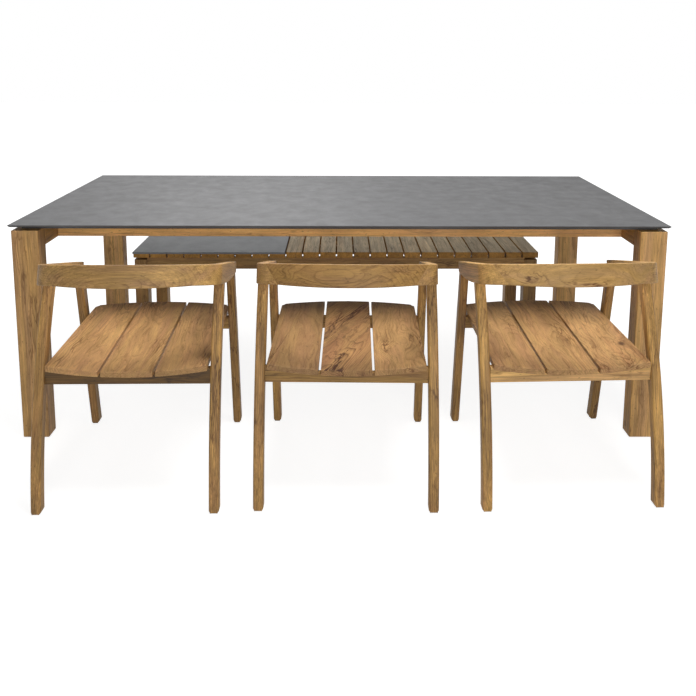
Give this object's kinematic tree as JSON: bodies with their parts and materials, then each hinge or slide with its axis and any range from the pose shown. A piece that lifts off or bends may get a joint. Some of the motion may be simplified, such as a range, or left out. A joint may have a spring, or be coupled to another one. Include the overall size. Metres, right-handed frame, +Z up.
{
  "type": "patio dining set",
  "caption": "Teak patio table with a thin ceramic top, armchairs with bent backs and dished slatted seats, and a slatted bench with a ceramic inlay panel",
  "frame": {"origin": "on the floor, under the middle of the whole set as it stands in the picture: table, chairs and bench together", "axes": "+X runs along the length of the table, +Y from the chairs across the table to the bench, +Z up"},
  "size_m": [2.2, 1.4846, 0.752],
  "materials": {
    "teak_table": "sanded teak, grain along each piece",
    "teak_chair": "sanded teak, golden tan",
    "teak_seat": "sanded teak, warmer and more figured",
    "teak_bench": "sanded teak slats, greyer",
    "teak_bench_frame": "sanded teak, brown",
    "ceramic_top": "matt ceramic slab, mottled warm grey",
    "ceramic_panel": "matt ceramic slab, cool grey",
    "dark_metal": "dark powder coat",
    "screw_steel": "plain stainless steel",
    "black_plastic": "matt black"
  },
  "bodies": {
    "table": {"table_top": "ceramic_top", "top_long_bars": "dark_metal", "top_cross_bars": "dark_metal", "table_leg_near_left": "teak_table", "table_leg_near_right": "teak_table", "table_leg_far_left": "teak_table", "table_leg_far_right": "teak_table", "end_apron_left": "teak_table", "end_apron_right": "teak_table", "long_rail_near": "teak_table", "long_rail_far": "teak_table", "table_glides": "black_plastic"},
    "left_chair": {"left_chair_back": "teak_chair", "left_chair_left_arm": "teak_chair", "left_chair_right_arm": "teak_chair", "left_chair_left_rear_leg": "teak_chair", "left_chair_right_rear_leg": "teak_chair", "left_chair_left_front_leg": "teak_chair", "left_chair_right_front_leg": "teak_chair", "left_chair_rear_rail": "teak_chair", "left_chair_front_rail": "teak_chair", "left_chair_left_board": "teak_seat", "left_chair_middle_board": "teak_seat", "left_chair_right_board": "teak_seat", "left_chair_glides": "black_plastic", "left_chair_screws": "screw_steel"},
    "middle_chair": {"middle_chair_back": "teak_chair", "middle_chair_left_arm": "teak_chair", "middle_chair_right_arm": "teak_chair", "middle_chair_left_rear_leg": "teak_chair", "middle_chair_right_rear_leg": "teak_chair", "middle_chair_left_front_leg": "teak_chair", "middle_chair_right_front_leg": "teak_chair", "middle_chair_rear_rail": "teak_chair", "middle_chair_front_rail": "teak_chair", "middle_chair_left_board": "teak_seat", "middle_chair_middle_board": "teak_seat", "middle_chair_right_board": "teak_seat", "middle_chair_glides": "black_plastic", "middle_chair_screws": "screw_steel"},
    "right_chair": {"right_chair_back": "teak_chair", "right_chair_left_arm": "teak_chair", "right_chair_right_arm": "teak_chair", "right_chair_left_rear_leg": "teak_chair", "right_chair_right_rear_leg": "teak_chair", "right_chair_left_front_leg": "teak_chair", "right_chair_right_front_leg": "teak_chair", "right_chair_rear_rail": "teak_chair", "right_chair_front_rail": "teak_chair", "right_chair_left_board": "teak_seat", "right_chair_middle_board": "teak_seat", "right_chair_right_board": "teak_seat", "right_chair_glides": "black_plastic", "right_chair_screws": "screw_steel"},
    "bench": {"bench_slats": "teak_bench", "bench_panel": "ceramic_panel", "bench_rails": "teak_bench_frame", "bench_legs": "teak_bench_frame", "bench_glides": "black_plastic"}
  },
  "joints": [
    {"name": "left_chair_push", "type": "slide", "parent": "table", "child": "left_chair", "axis": [-0.0113, 0.9999, 0], "range_m": [-0.5, 0.25]},
    {"name": "middle_chair_push", "type": "slide", "parent": "table", "child": "middle_chair", "axis": [0.0157, 0.9999, 0], "range_m": [-0.5, 0.25]},
    {"name": "right_chair_push", "type": "slide", "parent": "table", "child": "right_chair", "axis": [-0.0349, 0.9994, 0], "range_m": [-0.5, 0.25]},
    {"name": "bench_push", "type": "slide", "parent": "table", "child": "bench", "axis": [0, 1, 0], "range_m": [-0.2, 0.5]}
  ]
}
